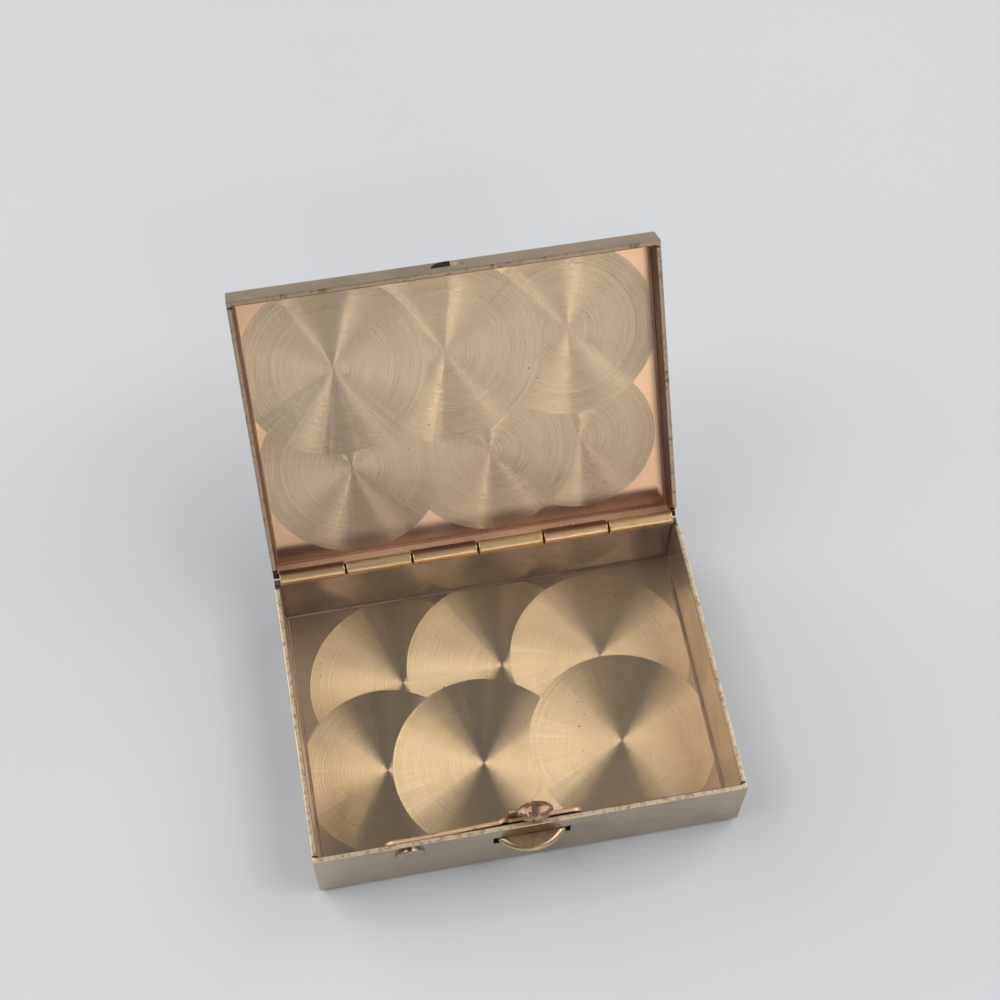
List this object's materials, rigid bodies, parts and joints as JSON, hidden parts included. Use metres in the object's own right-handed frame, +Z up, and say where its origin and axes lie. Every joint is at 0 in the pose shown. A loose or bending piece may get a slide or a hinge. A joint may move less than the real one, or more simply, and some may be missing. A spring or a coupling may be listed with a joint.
{
  "type": "snuff box",
  "caption": "Shallow rectangular pocket box of folded brass sheet with a hinged lid on a knuckle barrel and a sprung thumb catch at the front.",
  "frame": {"origin": "middle of the tray's flat underside", "axes": "+Z up, +X to the right along the front wall, +Y from the catch to the hinge; the lid stands open against its stop"},
  "size_m": [0.05, 0.0611, 0.0402],
  "materials": {
    "sheet_brass": "satin gold-tone brass sheet, engine-turned inside",
    "hinge_brass": "drawn brass tube, worn bright",
    "pin_wire": "drawn brass wire",
    "spring_bronze": "copper-coloured spring bronze"
  },
  "bodies": {
    "tray": {"tray_shell": "sheet_brass", "tray_knuckle_1": "hinge_brass", "tray_knuckle_2": "hinge_brass", "tray_knuckle_3": "hinge_brass", "hinge_pin": "pin_wire", "spring_rivet": "sheet_brass"},
    "lid": {"lid_shell": "sheet_brass", "lid_knuckle_1": "hinge_brass", "lid_knuckle_2": "hinge_brass", "lid_knuckle_3": "hinge_brass"},
    "catch": {"catch_spring": "spring_bronze", "catch_nose": "spring_bronze", "thumb_push": "sheet_brass"}
  },
  "joints": [
    {"name": "lid_hinge", "type": "hinge", "parent": "tray", "child": "lid", "pos_m": [0, 0.0176, 0.01105], "axis": [1, 0, 0], "range_deg": [0, 125.04]},
    {"name": "catch_press", "type": "hinge", "parent": "tray", "child": "catch", "pos_m": [-0.0141, -0.017, 0.0086], "axis": [0, 0, 1], "range_deg": [0, 4.5], "stiffness_Nm_per_rad": 0.3}
  ]
}
